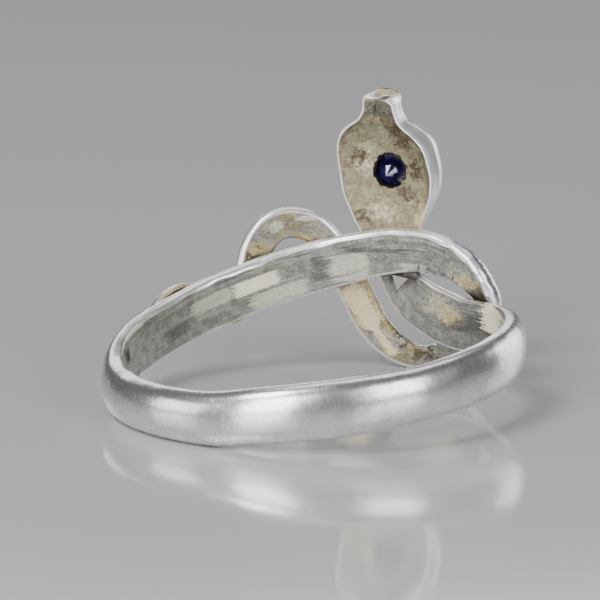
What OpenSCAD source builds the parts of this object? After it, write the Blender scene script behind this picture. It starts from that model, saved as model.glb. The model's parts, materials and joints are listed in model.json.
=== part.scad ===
/* [Finger hole] */
// Inner diameter of the ring, where the finger goes
finger_d = 17.3; // [16.8:0.1:17.8]

/* [Band] */
// Scale of the band's thickness against its table
band_thick = 1.0; // [0.9:0.05:1.15]
// Width of the worn bevel along each inner edge of the band
edge_bevel = 0.12; // [0.05:0.01:0.2]
// Length of one facet along a body of the band's usual width
facet = 0.7; // [0.6:0.1:1.5]

/* [Head] */
// Angle round the finger where the head stands, from the right
head_angle = 69.5; // [66:0.5:73]
// Distance from the finger's axis to the rim of the head's hollow back
head_reach = 9.85; // [9.75:0.05:10]
// Diameter of the drilled hole behind the stone
light_hole_d = 1.62; // [1.3:0.02:1.8]

/* [Sapphire] */
// Girdle diameter of the round stone
stone_d = 2.4; // [2.2:0.05:2.5]
// Width of the table facet against the girdle
table_share = 0.56; // [0.5:0.01:0.62]
// Height of the crown above the girdle
crown_h = 0.38; // [0.3:0.01:0.42]
// Depth of the pavilion below the girdle
pavilion_h = 1.03; // [0.9:0.01:1.05]
// Free space between the stone and its seat
seat_gap = 0.03; // [0.02:0.01:0.05]

/* [Hidden] */
finger_r = finger_d / 2;
degrees_per_radian = 180 / PI;
silver = [0.78, 0.77, 0.74];
sapphire_blue = [0.05, 0.07, 0.38];

// The snake from its neck to the tip of its tail, one row for each bend or change of width.
// ANGLE round the finger, with the far side at 90 and the right at 0; HEIGHT of the centre line above the
// surface that the ring lies on; LIFT of the inner face off the finger; WIDTH and THICK of the half-round body.
ANGLE = 0;
HEIGHT = 1;
LIFT = 2;
WIDTH = 3;
THICK = 4;
snake_rows = [
    // neck, outside the band
    [  69.4, 6.50, 1.36, 2.60, 0.70],
    [  68.6, 5.90, 1.24, 2.46, 0.75],
    [  67.7, 5.35, 1.10, 2.30, 0.80],
    [  66.2, 4.72, 1.00, 2.10, 0.85],
    [  63.8, 4.16, 0.72, 2.08, 0.90],
    [  61.2, 3.74, 0.45, 2.20, 0.95],
    [  57.0, 3.38, 0.25, 2.38, 1.00],
    [  51.0, 3.06, 0.10, 2.50, 1.05],
    [  45.0, 2.86, 0.03, 2.58, 1.08],
    [  38.0, 2.78, 0.00, 2.50, 1.10],
    [  27.0, 2.88, 0.00, 2.45, 1.10],
    // shank
    [  12.0, 3.08, 0.00, 2.50, 1.08],
    [  -5.0, 3.05, 0.00, 2.58, 1.05],
    [ -22.0, 2.88, 0.00, 2.68, 1.05],
    [ -40.0, 2.65, 0.00, 2.66, 1.05],
    [ -58.0, 2.38, 0.00, 2.58, 1.05],
    [ -76.0, 2.10, 0.00, 2.64, 1.05],
    [ -92.0, 1.84, 0.00, 2.64, 1.05],
    [-106.0, 1.58, 0.00, 2.58, 1.05],
    [-120.0, 1.27, 0.00, 2.50, 1.05],
    [-133.0, 1.20, 0.00, 2.40, 1.05],
    [-147.0, 1.175, 0.00, 2.35, 1.05],
    [-162.0, 1.19, 0.00, 2.38, 1.05],
    [-178.0, 1.34, 0.00, 2.46, 1.05],
    // band across the front
    [-195.0, 1.86, 0.00, 2.55, 1.05],
    [-208.0, 2.24, 0.00, 2.55, 1.05],
    [-222.0, 2.68, 0.00, 2.45, 1.05],
    [-236.0, 3.27, 0.00, 2.45, 1.05],
    [-250.0, 3.88, 0.00, 2.40, 1.08],
    [-264.0, 4.54, 0.00, 2.40, 1.10],
    [-278.0, 5.12, 0.00, 2.30, 1.12],
    [-290.0, 5.60, 0.00, 2.16, 1.12],
    [-299.0, 5.82, 0.00, 2.06, 1.06],
    [-307.0, 5.82, 0.03, 1.96, 1.00],
    // hairpin bend round the outside of the shank
    [-314.2, 5.60, 0.10, 1.80, 1.10],
    [-319.8, 5.22, 0.25, 1.66, 1.15],
    [-323.2, 4.62, 0.52, 1.50, 1.10],
    [-324.4, 3.92, 0.85, 1.44, 0.98],
    [-323.2, 3.15, 1.02, 1.38, 0.88],
    [-319.2, 2.35, 1.05, 1.32, 0.84],
    [-313.0, 1.52, 1.05, 1.22, 0.82],
    [-306.0, 0.82, 1.05, 1.14, 0.80],
    [-299.5, 0.58, 1.05, 1.16, 0.80],
    [-294.0, 0.80, 1.05, 1.34, 0.80],
    [-289.2, 1.38, 1.05, 1.50, 0.80],
    [-285.6, 2.08, 1.05, 1.58, 0.80],
    [-282.9, 2.95, 1.05, 1.62, 0.80],
    // tail, winding over the band
    [-280.3, 3.85, 1.05, 1.58, 0.78],
    [-277.3, 4.75, 1.02, 1.48, 0.75],
    [-274.6, 5.62, 1.02, 1.42, 0.75],
    [-271.2, 6.30, 1.04, 1.40, 0.75],
    [-267.0, 6.66, 1.05, 1.42, 0.75],
    [-262.0, 6.70, 1.05, 1.46, 0.75],
    [-257.8, 6.36, 1.05, 1.48, 0.75],
    [-254.7, 5.60, 1.03, 1.48, 0.75],
    [-252.8, 4.60, 1.02, 1.44, 0.72],
    [-250.6, 3.50, 1.00, 1.30, 0.70],
    [-247.6, 2.70, 0.98, 1.18, 0.68],
    [-242.2, 2.84, 0.96, 1.08, 0.65],
    [-236.2, 3.48, 0.95, 1.02, 0.60],
    [-230.8, 3.80, 0.95, 0.98, 0.60],
    [-225.2, 3.56, 0.93, 0.88, 0.55],
    [-220.2, 3.00, 0.90, 0.72, 0.50],
    [-216.8, 2.55, 0.85, 0.36, 0.36]
];
// Rows where the snake is split into strands, as its neck, band and tail lie over each other
shank_end = 23;
band_end = 33;
// Usual width of the band
band_w = 2.4;
// Sides of turned forms and of the small beads
turned_sides = 48;
bead_sides = 16;

function blend(a, b, c, d, f) =
    0.5 * (2 * b + (c - a) * f + (2 * a - 5 * b + 4 * c - d) * f * f + (3 * b - a - 3 * c + d) * f * f * f);
function blend_slope(a, b, c, d, f) =
    0.5 * (c - a + 2 * (2 * a - 5 * b + 4 * c - d) * f + 3 * (3 * b - a - 3 * c + d) * f * f);
function row_at(rows, i) = rows[max(0, min(len(rows) - 1, i))];
function smooth_row(rows, i, f) =
    blend(row_at(rows, i - 1), row_at(rows, i), row_at(rows, i + 1), row_at(rows, i + 2), f);
function row_slope(rows, i, f) =
    blend_slope(row_at(rows, i - 1), row_at(rows, i), row_at(rows, i + 1), row_at(rows, i + 2), f);
// Length on the unrolled finger between a row and the next, and how many facets it takes
function reach(rows, i) =
    norm([(rows[i + 1][ANGLE] - rows[i][ANGLE]) / degrees_per_radian * finger_r, rows[i + 1][HEIGHT] - rows[i][HEIGHT]]);
function passes(rows, i) = max(2, round(reach(rows, i) / (facet * rows[i][WIDTH] / band_w)));

// Half-round profile with a flat inner face, as points [across, outwards]
dome_points = 11;
// Shoulders of the dome: 1 is an ellipse, and less is fuller
dome_power = 0.8;
function profile(w, t) = concat(
    [[-w / 2 + edge_bevel, 0], [w / 2 - edge_bevel, 0]],
    [for (k = [0 : dome_points - 1])
        let (f = 180 * k / (dome_points - 1), side = min(edge_bevel, t / 3))
        [w / 2 * cos(f), side + (t - side) * pow(sin(f), dome_power)]]
);

// A profile point laid round the finger, at a row whose path runs along the unit vector run
function wrapped(row, run, p) =
    let (
        r = finger_r + row[LIFT],
        angle = row[ANGLE] - p[0] * run[1] / r * degrees_per_radian,
        height = row[HEIGHT] + p[0] * run[0],
        out = r + p[1]
    )
    [out * cos(angle), out * sin(angle), height];
// Ring of points round the snake, a share f of the way from row i to the next, drawn in by the inset
function section(rows, i, f, inset = 0) =
    let (
        row = smooth_row(rows, i, f),
        slope = row_slope(rows, i, f),
        step = [slope[ANGLE] / degrees_per_radian * (finger_r + row[LIFT]), slope[HEIGHT]]
    )
    [for (p = profile(row[WIDTH] - 2 * inset, row[THICK] * band_thick - 2 * inset))
        wrapped(row, step / norm(step), p + [0, inset])];

// Skin of a loft through rings that have the same number of points
module loft(rings) {
    n = len(rings[0]);
    last = len(rings) - 1;
    polyhedron(
        points = [for (ring = rings) for (p = ring) p],
        faces = concat(
            [[for (k = [0 : n - 1]) k]],
            [for (i = [0 : last - 1]) for (k = [0 : n - 1])
                [i * n + k, (i + 1) * n + k, (i + 1) * n + (k + 1) % n, i * n + (k + 1) % n]],
            [[for (k = [n - 1 : -1 : 0]) last * n + k]]
        ),
        convexity = 8
    );
}

// Skin of the snake between two rows. It starts with a plug, one facet long, inside the strand before it.
plug_inset = 0.06;
module strand(first, last) {
    before = first - 1;
    loft(concat(
        first > 0 ? [section(snake_rows, before, 1 - 1 / passes(snake_rows, before), plug_inset)] : [],
        [for (i = [first : last - 1])
            for (k = [0 : passes(snake_rows, i) - 1])
                section(snake_rows, i, k / passes(snake_rows, i))],
        [section(snake_rows, last - 1, 1)]
    ));
}

// The head, one row for each bend of its outline, from the neck up.
// HEAD_Z is the height; BACK_L and BACK_R are the left and right rims of the hollow back; JAW_L and JAW_R are the
// sides where the jaws meet; CROWN is how far the front stands out from the back, and DISH how deep the back is.
HEAD_Z = 0;
BACK_L = 1;
BACK_R = 2;
JAW_L = 3;
JAW_R = 4;
CROWN = 5;
DISH = 6;
head_rows = [
    [ 5.7, -1.30, 1.35, -1.25, 1.25, 0.85, 0.02],
    [ 6.4, -1.42, 1.52, -1.32, 1.36, 0.95, 0.04],
    [ 6.9, -1.70, 1.70, -1.60, 1.62, 1.10, 0.10],
    [ 7.5, -1.97, 1.92, -1.94, 1.92, 1.28, 0.25],
    [ 8.2, -2.26, 2.14, -2.28, 2.20, 1.50, 0.40],
    [ 8.9, -2.38, 2.18, -2.48, 2.32, 1.66, 0.48],
    [ 9.5, -2.48, 2.08, -2.60, 2.29, 1.72, 0.50],
    [10.1, -2.54, 1.90, -2.68, 2.15, 1.72, 0.48],
    [10.6, -2.49, 1.62, -2.66, 1.99, 1.68, 0.42],
    [11.0, -2.29, 1.18, -2.46, 1.68, 1.62, 0.35],
    [11.3, -1.96, 0.78, -2.08, 1.24, 1.54, 0.28],
    [11.6, -1.56, 0.52, -1.60, 0.64, 1.46, 0.20],
    [12.0, -1.32, 0.35, -1.32, 0.38, 1.38, 0.12],
    [12.4, -1.28, 0.25, -1.20, 0.30, 1.30, 0.05]
];
// Ends of the two jaws beyond the last row, as [height, left, right]
lower_jaw_end = [[12.58, -1.27, -0.02], [12.72, -1.22, -0.50], [12.81, -1.11, -0.84]];
upper_jaw_end = [[12.66, -1.10, 0.32], [12.85, -0.99, 0.24], [12.97, -0.84, 0.04], [13.03, -0.60, -0.22]];
// Distance from the back rim to the line where the jaws meet
jaw_line = 0.78;
// Where the cheek turns from the back rim to the jaw line, as a share of the way
cheek_turn = 0.3;
// How far the skull reaches into the throat below it, how far it overhangs it all round,
// and its upright side above the jaw line
skull_overlap = 0.06;
skull_overhang = 0.03;
skull_side = 0.12;
// Flat rim round the hollow back, and the roundness of the hollow
rim = 0.14;
dish_power = 0.6;
// How much lower each ring of the upper jaw's end is than the last
snout_drop = 0.04;
head_step = 0.3;
dish_points = 9;
skull_points = 13;

function head_passes(i) = max(1, round((head_rows[i + 1][HEAD_Z] - head_rows[i][HEAD_Z]) / head_step));
head_sections = [
    for (i = [0 : len(head_rows) - 2])
        for (k = [0 : head_passes(i) - 1])
            smooth_row(head_rows, i, k / head_passes(i)),
    head_rows[len(head_rows) - 1]
];
function mix(a, b, f) = a + (b - a) * f;

// Horizontal ring through the lower half of the head, hollow at the back, as points [across, outwards, height]
function throat_ring(z, left, right, jaw_left, jaw_right, dish) =
    let (flat = min(rim, (right - left) / 4))
    concat(
        [[left, 0, z]],
        [for (k = [0 : dish_points - 1])
            let (f = k / (dish_points - 1))
            [mix(left + flat, right - flat, f), dish * pow(max(0, sin(180 * f)), dish_power), z]],
        [[right, 0, z], [mix(right, jaw_right, cheek_turn), jaw_line / 2, z]],
        [[jaw_right, jaw_line, z], [jaw_left, jaw_line, z]],
        [[mix(left, jaw_left, cheek_turn), jaw_line / 2, z]]
    );
// Horizontal ring through the upper half of the head
function skull_ring(z, left, right, crown) =
    let (
        middle = (left + right) / 2,
        half = (right - left) / 2 + skull_overhang,
        base = jaw_line - skull_overlap,
        side = jaw_line + skull_side
    )
    concat(
        [[middle - half, base, z], [middle + half, base, z]],
        [for (k = [0 : skull_points - 1])
            let (f = 180 * k / (skull_points - 1))
            [middle + half * cos(f), side + (crown - side) * pow(max(0, sin(f)), dome_power), z]]
    );

module throat() {
    last = head_sections[len(head_sections) - 1];
    loft(concat(
        [for (s = head_sections)
            throat_ring(s[HEAD_Z], s[BACK_L], s[BACK_R], s[JAW_L], s[JAW_R], s[DISH])],
        [for (e = lower_jaw_end)
            throat_ring(e[0], e[1], e[2], e[1], e[2], last[DISH] / 2)]
    ));
}

// The skull starts a little above the throat, inside the neck
module skull() {
    last = head_sections[len(head_sections) - 1];
    loft(concat(
        [for (i = [1 : len(head_sections) - 1])
            let (s = head_sections[i])
            skull_ring(s[HEAD_Z], s[JAW_L], s[JAW_R], s[CROWN])],
        [for (k = [0 : len(upper_jaw_end) - 1])
            let (e = upper_jaw_end[k])
            skull_ring(e[0], e[1], e[2], last[CROWN] - snout_drop * (k + 1) * (k + 1))]
    ));
}

// Places its children on the head: x across to the right, y outwards from the back rim, z up
module on_head() {
    rotate([0, 0, head_angle - 90])
        translate([0, head_reach, 0])
            children();
}

// Place of the stone's middle on the head, and its lean
stone_x = -0.28;
stone_z = 9.03;
stone_lean = 4;
// Height of the girdle over the back rim, and its thickness
girdle_y = 1.47;
girdle_h = 0.05;
stone_r = stone_d / 2;
// Collar of metal round the stone: its wall, its depth under the girdle, its height over it and its bevel
collar_wall = 0.28;
collar_depth = 0.5;
collar_h = 0.24;
collar_bevel = 0.1;
collar_r = stone_r + collar_wall;
// How far the collar is burnished in over the girdle
lip = 0.1;
// Drilled hole behind the stone
hole_x = -0.07;
hole_z = 9.24;
hole_depth = 1.2;
// Longer than the metal that a cutter passes through
cutter = 1;
// Eyes: two round beads on the skull
eye_r = 0.27;
eye_x = [-2.02, 1.04];
eye_y = 1.27;
eye_z = 11.06;

// Small three-cornered window through the neck, just under the band, cut square to the back of the ring
notch_x = 3.98;
notch_y = 8.2;
notch_z = 4.27;
notch_r = 0.43;
notch_depth = 3;
notch_dip = 12;
notch_turn = 104;

module notch() {
    translate([notch_x, notch_y, notch_z])
        rotate([-90 - notch_dip, 0, 0])
            rotate([0, 0, notch_turn])
                cylinder(h = notch_depth, r = notch_r, $fn = 3);
}

// Places its children at the stone's girdle with their z axis along the stone's own, outwards
module on_stone() {
    on_head()
        translate([stone_x, girdle_y, stone_z])
            rotate([-90 + stone_lean, 0, stone_lean / 2])
                children();
}

module collar() {
    on_stone()
        rotate_extrude($fn = turned_sides)
            polygon([
                [0, -collar_depth],
                [collar_r, -collar_depth],
                [collar_r, collar_h - collar_bevel],
                [collar_r - collar_bevel, collar_h],
                [0, collar_h]
            ]);
}

module seat() {
    free_r = stone_r + seat_gap;
    on_stone()
        rotate_extrude($fn = turned_sides)
            polygon([
                [0, -pavilion_h * free_r / stone_r - seat_gap],
                [free_r, -seat_gap],
                [free_r, girdle_h + seat_gap],
                [stone_r - lip, girdle_h + seat_gap + lip],
                [stone_r - lip, collar_h + cutter],
                [0, collar_h + cutter]
            ]);
    on_head()
        translate([hole_x, -cutter, hole_z])
            rotate([-90, 0, 0])
                cylinder(h = hole_depth + cutter, d = light_hole_d, $fn = turned_sides);
}

module eyes() {
    for (x = eye_x)
        on_head()
            translate([x, eye_y, eye_z])
                sphere(r = eye_r, $fn = bead_sides);
}

// Makes one faceted skin of its children, at the size that they have
module soldered() {
    resize([0, 0, 0])
        union()
            children();
}

module snake_body() {
    color(silver)
        difference() {
            union() {
                soldered() {
                    strand(0, shank_end);
                    strand(shank_end, band_end);
                    strand(band_end, len(snake_rows) - 1);
                    on_head() {
                        throat();
                        skull();
                    }
                }
                collar();
                eyes();
            }
            seat();
            notch();
        }
}

// Facets round the crown, and as many round the pavilion
facets_round = 12;

module sapphire() {
    color(sapphire_blue)
        on_stone() {
            cylinder(h = girdle_h, r = stone_r, $fn = facets_round);
            translate([0, 0, girdle_h])
                cylinder(h = crown_h, r1 = stone_r, r2 = stone_r * table_share, $fn = facets_round);
            translate([0, 0, -pavilion_h])
                cylinder(h = pavilion_h, r1 = 0, r2 = stone_r, $fn = facets_round);
        }
}

snake_body();
sapphire();
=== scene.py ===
"""Looks of a silver snake wrap ring with a sapphire in its raised head, lying on its side."""
import bisect
import json
import math
from collections import namedtuple

import bmesh
import bpy
from mathutils import Matrix, Vector, noise
from mathutils.bvhtree import BVHTree
from mathutils.kdtree import KDTree


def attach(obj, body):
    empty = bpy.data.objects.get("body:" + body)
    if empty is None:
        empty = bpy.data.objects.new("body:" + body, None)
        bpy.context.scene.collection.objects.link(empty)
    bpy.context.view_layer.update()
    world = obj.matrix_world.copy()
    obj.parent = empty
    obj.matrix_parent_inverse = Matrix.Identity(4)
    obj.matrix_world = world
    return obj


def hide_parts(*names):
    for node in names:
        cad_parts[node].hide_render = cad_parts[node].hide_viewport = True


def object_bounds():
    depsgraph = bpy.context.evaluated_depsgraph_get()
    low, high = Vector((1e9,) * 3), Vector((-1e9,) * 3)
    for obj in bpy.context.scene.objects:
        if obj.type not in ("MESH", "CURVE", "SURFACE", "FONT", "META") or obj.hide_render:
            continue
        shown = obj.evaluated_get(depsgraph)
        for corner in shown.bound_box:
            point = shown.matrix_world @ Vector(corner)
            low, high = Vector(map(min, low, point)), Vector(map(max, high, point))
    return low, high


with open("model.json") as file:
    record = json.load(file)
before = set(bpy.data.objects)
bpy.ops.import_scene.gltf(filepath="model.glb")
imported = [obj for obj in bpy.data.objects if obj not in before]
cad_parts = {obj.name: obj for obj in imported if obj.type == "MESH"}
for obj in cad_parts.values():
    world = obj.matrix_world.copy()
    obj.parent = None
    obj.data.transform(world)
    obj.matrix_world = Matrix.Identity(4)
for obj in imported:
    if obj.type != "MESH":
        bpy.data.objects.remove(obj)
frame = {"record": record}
cad_low, cad_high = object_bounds()

# Sizes in millimetres, made metres once a piece is whole
METRES = 0.001
finger_r = frame["record"]["mounts"][0]["dims"]["r_mm"]

# The snake from its neck to the tip of its tail, one row for each bend or change of width
ANGLE, HEIGHT, LIFT, WIDTH, THICK = range(5)
SNAKE_ROWS = [
    # neck, outside the band
    (69.4, 6.50, 1.36, 2.60, 0.70),
    (68.6, 5.90, 1.24, 2.46, 0.75),
    (67.7, 5.35, 1.10, 2.30, 0.80),
    (66.2, 4.72, 1.00, 2.10, 0.85),
    (63.8, 4.16, 0.72, 2.08, 0.90),
    (61.2, 3.74, 0.45, 2.20, 0.95),
    (57.0, 3.38, 0.25, 2.38, 1.00),
    (51.0, 3.06, 0.10, 2.50, 1.05),
    (45.0, 2.86, 0.03, 2.58, 1.08),
    (38.0, 2.78, 0.00, 2.50, 1.10),
    (27.0, 2.88, 0.00, 2.45, 1.10),
    # shank
    (12.0, 3.08, 0.00, 2.50, 1.08),
    (-5.0, 3.05, 0.00, 2.58, 1.05),
    (-22.0, 2.88, 0.00, 2.68, 1.05),
    (-40.0, 2.65, 0.00, 2.66, 1.05),
    (-58.0, 2.38, 0.00, 2.58, 1.05),
    (-76.0, 2.10, 0.00, 2.64, 1.05),
    (-92.0, 1.84, 0.00, 2.64, 1.05),
    (-106.0, 1.58, 0.00, 2.58, 1.05),
    (-120.0, 1.27, 0.00, 2.50, 1.05),
    (-133.0, 1.20, 0.00, 2.40, 1.05),
    (-147.0, 1.175, 0.00, 2.35, 1.05),
    (-162.0, 1.19, 0.00, 2.38, 1.05),
    (-178.0, 1.34, 0.00, 2.46, 1.05),
    # band across the front
    (-195.0, 1.86, 0.00, 2.55, 1.05),
    (-208.0, 2.24, 0.00, 2.55, 1.05),
    (-222.0, 2.68, 0.00, 2.45, 1.05),
    (-236.0, 3.27, 0.00, 2.45, 1.05),
    (-250.0, 3.88, 0.00, 2.40, 1.08),
    (-264.0, 4.54, 0.00, 2.40, 1.10),
    (-278.0, 5.12, 0.00, 2.30, 1.12),
    (-290.0, 5.60, 0.00, 2.16, 1.12),
    (-299.0, 5.82, 0.00, 2.06, 1.06),
    (-307.0, 5.82, 0.03, 1.96, 1.00),
    # hairpin bend round the outside of the shank
    (-314.2, 5.60, 0.10, 1.80, 1.10),
    (-319.8, 5.22, 0.25, 1.66, 1.15),
    (-323.2, 4.62, 0.52, 1.50, 1.10),
    (-324.4, 3.92, 0.85, 1.44, 0.98),
    (-323.2, 3.15, 1.02, 1.38, 0.88),
    (-319.2, 2.35, 1.05, 1.32, 0.84),
    (-313.0, 1.52, 1.05, 1.22, 0.82),
    (-306.0, 0.82, 1.05, 1.14, 0.80),
    (-299.5, 0.58, 1.05, 1.16, 0.80),
    (-294.0, 0.80, 1.05, 1.34, 0.80),
    (-289.2, 1.38, 1.05, 1.50, 0.80),
    (-285.6, 2.08, 1.05, 1.58, 0.80),
    (-282.9, 2.95, 1.05, 1.62, 0.80),
    # tail, winding over the band
    (-280.3, 3.85, 1.05, 1.58, 0.78),
    (-277.3, 4.75, 1.02, 1.48, 0.75),
    (-274.6, 5.62, 1.02, 1.42, 0.75),
    (-271.2, 6.30, 1.04, 1.40, 0.75),
    (-267.0, 6.66, 1.05, 1.42, 0.75),
    (-262.0, 6.70, 1.05, 1.46, 0.75),
    (-257.8, 6.36, 1.05, 1.48, 0.75),
    (-254.7, 5.60, 1.03, 1.48, 0.75),
    (-252.8, 4.60, 1.02, 1.44, 0.72),
    (-250.6, 3.50, 1.00, 1.30, 0.70),
    (-247.6, 2.70, 0.98, 1.18, 0.68),
    (-242.2, 2.84, 0.96, 1.08, 0.65),
    (-236.2, 3.48, 0.95, 1.02, 0.60),
    (-230.8, 3.80, 0.95, 0.98, 0.60),
    (-225.2, 3.56, 0.93, 0.88, 0.55),
    (-220.2, 3.00, 0.90, 0.72, 0.50),
    (-216.8, 2.55, 0.85, 0.36, 0.36),
]
# Rows where the band starts, at the end of the shank, and where the tail starts, at the end of the band
SHANK_END = 23
BAND_END = 33

# The head from the neck up: left and right rims of the hollow back, sides where the jaws meet,
# how far the front stands out and how deep the back is
HEAD_Z, BACK_L, BACK_R, JAW_L, JAW_R, CROWN, DISH = range(7)
HEAD_ROWS = [
    (5.7, -1.30, 1.35, -1.25, 1.25, 0.85, 0.02),
    (6.4, -1.42, 1.52, -1.32, 1.36, 0.95, 0.04),
    (6.9, -1.70, 1.70, -1.60, 1.62, 1.10, 0.10),
    (7.5, -1.97, 1.92, -1.94, 1.92, 1.28, 0.25),
    (8.2, -2.26, 2.14, -2.28, 2.20, 1.50, 0.40),
    (8.9, -2.38, 2.18, -2.48, 2.32, 1.66, 0.48),
    (9.5, -2.48, 2.08, -2.60, 2.29, 1.72, 0.50),
    (10.1, -2.54, 1.90, -2.68, 2.15, 1.72, 0.48),
    (10.6, -2.49, 1.62, -2.66, 1.99, 1.68, 0.42),
    (11.0, -2.29, 1.18, -2.46, 1.68, 1.62, 0.35),
    (11.3, -1.96, 0.78, -2.08, 1.24, 1.54, 0.28),
    (11.6, -1.56, 0.52, -1.60, 0.64, 1.46, 0.20),
    (12.0, -1.32, 0.35, -1.32, 0.38, 1.38, 0.12),
    (12.4, -1.28, 0.25, -1.20, 0.30, 1.30, 0.05),
]
# Ends of the two jaws beyond the last row, as (height, left, right)
LOWER_JAW_END = [(12.58, -1.27, -0.02), (12.72, -1.22, -0.50), (12.81, -1.11, -0.84)]
UPPER_JAW_END = [(12.66, -1.10, 0.32), (12.85, -0.99, 0.24), (12.97, -0.84, 0.04), (13.03, -0.60, -0.22)]

# Head on the ring, and the stone on the head. Angles are in degrees
head_angle = 69.5
head_reach = 9.85
stone_place = Vector((-0.28, 1.47, 9.03))
stone_lean = 4
stone_r = 1.2
girdle_h = 0.05
crown_h = 0.38
pavilion_h = 1.03
table_r = 0.56 * stone_r


def blend(a, b, c, d, f):
    """Smooth value a share f of the way from b to c, with a before them and d after."""
    bend = 2 * a - 5 * b + 4 * c - d
    turn = 3 * b - a - 3 * c + d
    return 0.5 * (2 * b + (c - a) * f + bend * f ** 2 + turn * f ** 3)


def blend_slope(a, b, c, d, f):
    """Slope of that value against f."""
    bend = 2 * a - 5 * b + 4 * c - d
    turn = 3 * b - a - 3 * c + d
    return 0.5 * (c - a + 2 * bend * f + 3 * turn * f ** 2)


def smooth_row(rows, i, f, rule=blend):
    """Every column of a table a share f of the way from row i to the next."""
    last = len(rows) - 1
    near = [rows[max(0, min(last, i + k))] for k in (-1, 0, 1, 2)]
    return [rule(*column, f) for column in zip(*near)]


def mix(a, b, f):
    """Value a share f of the way from a to b."""
    return a + (b - a) * f


def ease(low, high, x):
    """0 below low and 1 above high, with a smooth rise between."""
    f = max(0.0, min(1.0, (x - low) / (high - low)))
    return f * f * (3 - 2 * f)


def wobble(point, size, depth):
    """Hand-made unevenness: a smooth offset that changes over the given size."""
    return depth * noise.noise(point / size)


# A point of the skin: its place, its way along and across the piece, its share of the way from the middle
# to the side, whether it is on the inner face or on a worn edge, and the layer it belongs to
Spot = namedtuple("Spot", "co along across share inside edge layer")
BAND, TAIL, HEAD = range(3)
spots = []


def loft(rings):
    """A closed skin through rings of spots. Every ring has the same number."""
    spots.extend(spot for ring in rings for spot in ring)
    bm = bmesh.new()
    place = bm.verts.layers.int.new("place")
    ring_verts = bmesh.ops.create_circle(bm, cap_ends=False, segments=len(rings[0]), radius=1)["verts"]
    for i, v in enumerate(ring_verts):
        v[place] = i
        v.co = rings[0][i].co
    first_edges = list(bm.edges)
    edges = first_edges
    for ring in rings[1:]:
        grown = bmesh.ops.extrude_edge_only(bm, edges=edges)["geom"]
        fresh = {g for g in grown if isinstance(g, bmesh.types.BMVert)}
        for v in fresh:
            v.co = ring[v[place]].co
        edges = [g for g in grown if isinstance(g, bmesh.types.BMEdge) and all(v in fresh for v in g.verts)]
    bmesh.ops.contextual_create(bm, geom=first_edges)
    bmesh.ops.contextual_create(bm, geom=edges)
    bmesh.ops.recalc_face_normals(bm, faces=bm.faces)
    return bm


# Scales cut into the dome: how many lie side by side, how deep the cuts are, and the rings of points in a row
scale_cols = 5.0
scale_depth = 0.05
scale_rings = 5
# Form of a scale: its length in rows, how fast it narrows, how high its root is, and its least slope's length
scale_length = 1.7
scale_taper = 1.9
scale_root = 0.35
scale_tip = 0.2
# Angles between which the scales come in on the neck and on the band
neck_scales = (20, 40)
band_scales = (-184, -200)


def scale_cut(phase, side, columns=scale_cols):
    """Depth of the cut between overlapping scales, from 0 on a scale to 1 in a groove."""
    height = 0.0
    for back in (0, 1):
        row = math.floor(phase) - back
        along = (phase - row) / scale_length
        across = (side * columns + 0.5 * (row % 2)) % 1.0 - 0.5
        edge = math.sqrt(max(0.0, 1.0 - (scale_taper * across) ** 2))
        if along < edge:
            height = max(height, mix(scale_root, 1.0, along / max(edge, scale_tip)))
    return 1.0 - height


def relief_at(angle):
    """How deep the scales are cut at an angle round the finger: none on the plain shank."""
    return max(ease(*neck_scales, angle), ease(*band_scales, angle))


# Steps from one row of the snake's table to the next at which its length is measured
length_steps = 24


def snake_length():
    """Length along the snake at close steps, as (row, share, length)."""
    steps = []
    total = 0.0
    before = None
    for i in range(len(SNAKE_ROWS) - 1):
        for k in range(length_steps):
            f = k / length_steps
            row = smooth_row(SNAKE_ROWS, i, f)
            here = Vector((math.radians(row[ANGLE]) * (finger_r + row[LIFT]), row[HEIGHT]))
            if before is not None:
                total += (here - before).length
            before = here
            steps.append((i, f, total))
    return steps


measured = snake_length()
lengths = [total for i, f, total in measured]


def station(length):
    """Row and share of the way to the next, at a length along the snake."""
    k = max(0, min(len(measured) - 2, bisect.bisect_right(lengths, length) - 1))
    i, f, start = measured[k]
    step = max(1e-9, lengths[k + 1] - start)
    return i, min(1.0, f + (length - start) / step / length_steps)


def length_at(row):
    """Length along the snake at a row of its table."""
    return lengths[min(len(measured) - 1, row * length_steps)]


# Points on each stretch of the half-round profile, and how full its dome is: 1 is a half wave
flat_points = 9
edge_points = 4
dome_points = 31
dome_fullness = 0.8


def profile(w, t, near_edge, far_edge):
    """The section of a strand, with bevels of two widths at its positive and its negative side.

    A point is (across, outwards, share of the way over the dome or None)."""
    half = w / 2
    ends = far_edge - half, half - near_edge
    flat = [(mix(*ends, k / (flat_points - 1)), 0.0, None) for k in range(flat_points)]
    turns = [math.pi / 2 * k / edge_points for k in range(1, edge_points)]
    near = [(half - near_edge * (1 - math.sin(a)), near_edge * (1 - math.cos(a)), None) for a in turns]
    dome = []
    for k in range(dome_points):
        share = k / (dome_points - 1)
        shoulder = mix(near_edge, far_edge, share)
        rise = math.sin(math.pi * share) ** dome_fullness
        dome.append((half * math.cos(math.pi * share), shoulder + (t - shoulder) * rise, share))
    far = [(far_edge * (1 - math.sin(a)) - half, far_edge * (1 - math.cos(a)), None) for a in reversed(turns)]
    return flat + near + dome + far


# Waves of the hand-made surface: their depth and their size
wobble_depth = 0.012
wobble_size = 1.1
# Bevels at the inner face: their width, how much it changes, and how many times wider the upper ones are
edge_w = 0.15
edge_change = 0.06
broad_edge = 2.1
# Share of a bevel's width up to which its points still count as inside
inner_share = 0.4
# The tail lies outside the band where it is lifted more than this, and climbs over it beyond this angle
tail_lift = 0.6
arch_start = -280
# Width from which scales have their full depth, and how fast they fade in from the foot of the dome
full_scale_w = 1.6
foot_fade = 14
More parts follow.
